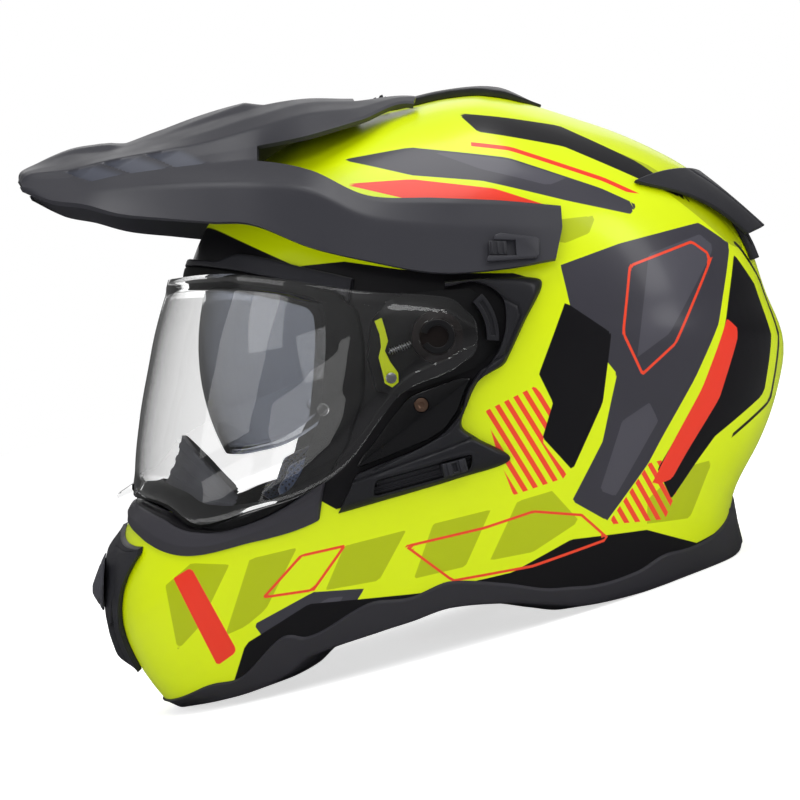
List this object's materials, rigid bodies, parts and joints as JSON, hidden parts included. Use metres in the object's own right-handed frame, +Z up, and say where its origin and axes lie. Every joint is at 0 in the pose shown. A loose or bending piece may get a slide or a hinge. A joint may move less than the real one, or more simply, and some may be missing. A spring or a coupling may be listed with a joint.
{
  "type": "enduro helmet",
  "caption": "Full-face off-road helmet with a moulded shell, foam liner, clear and drop-down visors, vents, padding, chin strap and a removable peak.",
  "frame": {"origin": "on the surface the helmet stands on, under the middle of its bounding box", "axes": "+Z up, -X the way the face looks, -Y the wearer's left; the helmet stands tipped back on its rim by the angle rest_tilt"},
  "size_m": [0.3909, 0.2722, 0.296],
  "materials": {
    "outer_shell": "semi-matt clear coat over fluorescent yellow on a fibre composite",
    "base_trim": "matt moulded edging",
    "eyeport_gasket": "soft moulded rubber",
    "brow_strip": "fine grain",
    "lower_cover": "fine grain",
    "eps_liner": "expanded bead foam, dark grey",
    "chin_eps": "expanded bead foam, dark grey",
    "crown_pad": "perforated brushed knit",
    "cheek_pad_left": "perforated brushed knit",
    "cheek_pad_right": "perforated brushed knit",
    "neck_roll": "coated knit",
    "chin_curtain": "ribbed cloth",
    "breath_deflector": "thin moulded rubber",
    "chin_vent_frame": "fine grain",
    "chin_vent_shutter": "fine grain",
    "crown_vent_housing": "fine grain",
    "crown_vent_slider": "fine grain",
    "rear_spoiler": "satin",
    "rear_outlet_grille": "fine grain",
    "pivot_base_left": "satin",
    "pivot_base_right": "satin",
    "pivot_hub_left": "satin",
    "pivot_hub_right": "satin",
    "detent_lever_left": "satin",
    "detent_lever_right": "satin",
    "detent_spring_left": "drawn wire",
    "detent_spring_right": "drawn wire",
    "detent_pins": "turned",
    "release_lever_left": "fine grain",
    "release_lever_right": "fine grain",
    "side_pod_left": "fine grain",
    "side_pod_right": "fine grain",
    "side_cover_left": "satin gloss",
    "side_cover_right": "satin gloss",
    "cover_screws": "plated steel, bronze colour",
    "slider_track": "matt",
    "sun_visor_slider": "fine grain",
    "sun_visor": "smoke-tinted polycarbonate",
    "sun_visor_pins": "natural acetal",
    "visor_shield": "clear polycarbonate",
    "visor_pins": "clear grey",
    "peak": "matt charcoal",
    "peak_mount_left": "fine grain",
    "peak_mount_right": "fine grain",
    "latch_cover_left": "satin",
    "latch_cover_right": "satin",
    "peak_latch_left": "satin",
    "peak_latch_right": "satin",
    "chin_strap_left": "woven webbing",
    "chin_strap_right": "woven webbing",
    "strap_rivets": "turned",
    "buckle_body": "fine grain",
    "buckle_lever": "satin gloss"
  },
  "bodies": {
    "helmet": {"outer_shell": "outer_shell", "base_trim": "base_trim", "eyeport_gasket": "eyeport_gasket", "brow_strip": "brow_strip", "lower_cover": "lower_cover", "eps_liner": "eps_liner", "chin_eps": "chin_eps", "crown_pad": "crown_pad", "cheek_pad_left": "cheek_pad_left", "cheek_pad_right": "cheek_pad_right", "neck_roll": "neck_roll", "chin_curtain": "chin_curtain", "breath_deflector": "breath_deflector", "chin_vent_frame": "chin_vent_frame", "crown_vent_housing": "crown_vent_housing", "rear_spoiler": "rear_spoiler", "rear_outlet_grille": "rear_outlet_grille", "pivot_base_left": "pivot_base_left", "pivot_base_right": "pivot_base_right", "pivot_hub_left": "pivot_hub_left", "pivot_hub_right": "pivot_hub_right", "detent_spring_left": "detent_spring_left", "detent_spring_right": "detent_spring_right", "detent_pins": "detent_pins", "side_pod_left": "side_pod_left", "side_pod_right": "side_pod_right", "side_cover_left": "side_cover_left", "side_cover_right": "side_cover_right", "cover_screws": "cover_screws", "slider_track": "slider_track", "sun_visor_pins": "sun_visor_pins", "peak": "peak", "peak_mount_left": "peak_mount_left", "peak_mount_right": "peak_mount_right", "latch_cover_left": "latch_cover_left", "latch_cover_right": "latch_cover_right", "chin_strap_left": "chin_strap_left", "chin_strap_right": "chin_strap_right", "strap_rivets": "strap_rivets", "buckle_body": "buckle_body"},
    "visor": {"visor_shield": "visor_shield", "visor_pins": "visor_pins"},
    "sun_visor": {"sun_visor": "sun_visor"},
    "sun_slider": {"sun_visor_slider": "sun_visor_slider"},
    "crown_slider": {"crown_vent_slider": "crown_vent_slider"},
    "chin_shutter": {"chin_vent_shutter": "chin_vent_shutter"},
    "latch_left": {"peak_latch_left": "peak_latch_left"},
    "latch_right": {"peak_latch_right": "peak_latch_right"},
    "detent_left": {"detent_lever_left": "detent_lever_left"},
    "detent_right": {"detent_lever_right": "detent_lever_right"},
    "release_left": {"release_lever_left": "release_lever_left"},
    "release_right": {"release_lever_right": "release_lever_right"},
    "buckle_lever": {"buckle_lever": "buckle_lever"}
  },
  "joints": [
    {"name": "visor_hinge", "type": "hinge", "parent": "helmet", "child": "visor", "pos_m": [0.00455, 0, 0.15107], "axis": [0, 1, 0], "range_deg": [0, 41]},
    {"name": "sun_visor_hinge", "type": "hinge", "parent": "helmet", "child": "sun_visor", "pos_m": [0.00455, 0, 0.15107], "axis": [0, 1, 0], "range_deg": [0, 46]},
    {"name": "sun_slider_slide", "type": "slide", "parent": "helmet", "child": "sun_slider", "axis": [-0.995, 0.0993, 0.0094], "range_m": [0, 0.032]},
    {"name": "crown_slider_slide", "type": "slide", "parent": "helmet", "child": "crown_slider", "axis": [0.9925, 0, 0.1219], "range_m": [0, 0.007]},
    {"name": "chin_shutter_slide", "type": "slide", "parent": "helmet", "child": "chin_shutter", "axis": [-0.424, 0, -0.9056], "range_m": [0, 0.005]},
    {"name": "latch_left_slide", "type": "slide", "parent": "helmet", "child": "latch_left", "axis": [0.9494, 0.1564, -0.2722], "range_m": [0, 0.004], "stiffness_N_per_m": 120},
    {"name": "latch_right_slide", "type": "slide", "parent": "helmet", "child": "latch_right", "axis": [0.9494, -0.1564, -0.2722], "range_m": [0, 0.004], "stiffness_N_per_m": 120},
    {"name": "detent_left_hinge", "type": "hinge", "parent": "helmet", "child": "detent_left", "pos_m": [-0.02211, 0, 0.13791], "axis": [0, 1, 0], "range_deg": [0, 4], "stiffness_Nm_per_rad": 0.05},
    {"name": "detent_right_hinge", "type": "hinge", "parent": "helmet", "child": "detent_right", "pos_m": [-0.02211, 0, 0.13791], "axis": [0, 1, 0], "range_deg": [0, 4], "stiffness_Nm_per_rad": 0.05},
    {"name": "release_left_hinge", "type": "hinge", "parent": "helmet", "child": "release_left", "pos_m": [0.00455, 0, 0.15107], "axis": [0, 1, 0], "range_deg": [0, 7], "stiffness_Nm_per_rad": 0.05},
    {"name": "release_right_hinge", "type": "hinge", "parent": "helmet", "child": "release_right", "pos_m": [0.00455, 0, 0.15107], "axis": [0, 1, 0], "range_deg": [0, 7], "stiffness_Nm_per_rad": 0.05},
    {"name": "buckle_lever_hinge", "type": "hinge", "parent": "helmet", "child": "buckle_lever", "pos_m": [-0.0351, -0.0085, 0.01761], "axis": [-0.9994, 0, 0.0349], "range_deg": [0, 30], "stiffness_Nm_per_rad": 0.05}
  ],
  "couplings": [
    {"joint": "sun_slider_slide", "follows": "sun_visor_hinge", "m_per_rad": 0.039857}
  ]
}
